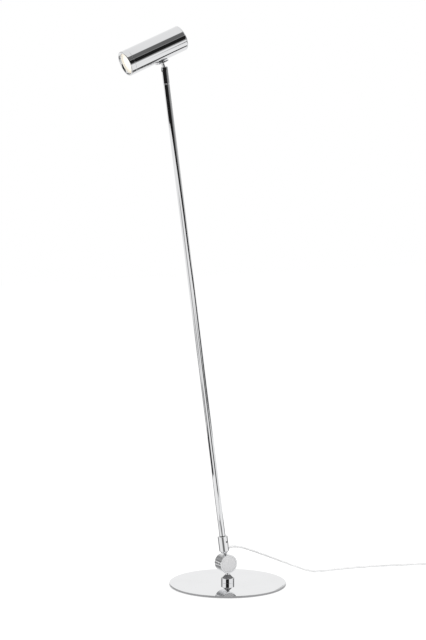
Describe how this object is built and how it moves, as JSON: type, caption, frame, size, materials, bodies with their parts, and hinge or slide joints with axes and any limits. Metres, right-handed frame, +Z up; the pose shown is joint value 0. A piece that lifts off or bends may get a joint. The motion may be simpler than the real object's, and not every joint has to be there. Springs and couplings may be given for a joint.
{
  "type": "telescopic floor lamp",
  "caption": "Chrome floor lamp: round base, friction hinge, leaning telescopic rod and a cylindrical spot head on a swivel knuckle, with cord, switch and plug.",
  "frame": {"origin": "centre of the base's flat underside, on the floor", "axes": "+Z up; the rod leans towards -X; the hinge's plain round face looks towards -Y; the cord leaves towards +X"},
  "size_m": [0.8941, 0.25, 1.1878],
  "materials": {
    "polished_chrome": "polished chrome plate",
    "brushed_face": "brushed satin chrome",
    "foam_pad": "matt foam rubber",
    "zinc_steel": "zinc plated",
    "black_steel": "black oxide",
    "black_nylon": "matt nylon",
    "clear_cord": "glossy translucent sheath",
    "inner_flex": "plain sleeved wire",
    "pale_plastic": "moulded, satin gloss",
    "rocker_plastic": "moulded gloss",
    "brass": "nickel plated brass",
    "lamp_white": "white lamp body",
    "ceramic": "ceramic",
    "lamp_glass": "frosted glass",
    "silicone": "matt silicone"
  },
  "bodies": {
    "base": {"base_plate": "polished_chrome", "base_pad": "foam_pad", "base_screw": "zinc_steel", "base_hub": "polished_chrome", "hinge_fixed_half": "polished_chrome", "hinge_front_cap": "brushed_face", "hinge_bolt": "zinc_steel", "hinge_nut": "zinc_steel", "hinge_spring_washer": "zinc_steel", "hinge_friction_washer": "black_nylon", "hinge_stop_pin": "zinc_steel", "cord_lead": "clear_cord", "cord_coil": "clear_cord", "switch_base": "pale_plastic", "switch_cover": "pale_plastic", "switch_screws": "zinc_steel", "switch_contacts": "brass", "plug_body": "pale_plastic", "plug_pins": "brass"},
    "rod": {"hinge_moving_half": "polished_chrome", "hinge_rear_cap": "polished_chrome", "ferrule": "polished_chrome", "ferrule_set_screw": "black_steel", "strain_relief": "clear_cord", "outer_tube": "polished_chrome", "tube_bush": "polished_chrome", "rod_flex": "inner_flex"},
    "mast": {"inner_tube": "polished_chrome", "tube_guide": "black_nylon", "guide_rivets": "zinc_steel", "swivel_spigot": "zinc_steel", "mast_flex": "inner_flex"},
    "knuckle": {"knuckle_body": "polished_chrome", "swivel_washer": "black_nylon", "knuckle_grub_screw": "black_steel", "pivot_screws": "black_steel"},
    "head": {"swivel_stem": "polished_chrome", "rosette": "polished_chrome", "stem_washer": "zinc_steel", "stem_nut": "zinc_steel", "head_tube": "polished_chrome", "head_bezel": "polished_chrome", "head_rear_cap": "polished_chrome", "lamp_gasket": "silicone", "lamp_body": "lamp_white", "lamp_lens": "lamp_glass", "lamp_pins": "brass", "lampholder": "ceramic", "lampholder_screws": "zinc_steel", "lampholder_bracket": "zinc_steel", "lamp_wires": "inner_flex", "terminal_block": "pale_plastic", "terminal_screw": "zinc_steel", "head_flex": "inner_flex"},
    "rocker": {"switch_rocker": "rocker_plastic"}
  },
  "joints": [
    {"name": "rod_tilt", "type": "hinge", "parent": "base", "child": "rod", "pos_m": [0, 0.009, 0.0457], "axis": [0, 1, 0], "range_deg": [-12, 28], "deforming": ["cord_lead"]},
    {"name": "telescope", "type": "slide", "parent": "rod", "child": "mast", "axis": [-0.134, 0, 0.991], "range_m": [0, 0.45], "deforming": ["rod_flex"]},
    {"name": "head_swivel", "type": "hinge", "parent": "mast", "child": "knuckle", "pos_m": [-0.13854, 0.009, 1.07038], "axis": [-0.134, 0, 0.991], "range_deg": [-155, 155]},
    {"name": "head_tilt", "type": "hinge", "parent": "knuckle", "child": "head", "pos_m": [-0.14256, 0.009, 1.10011], "axis": [0, 1, 0], "range_deg": [-65, 95], "deforming": ["head_flex"]},
    {"name": "switch_press", "type": "hinge", "parent": "base", "child": "rocker", "pos_m": [0.53558, -0.04996, 0.013], "axis": [0.309, 0.9511, 0], "range_deg": [0, 16]}
  ]
}
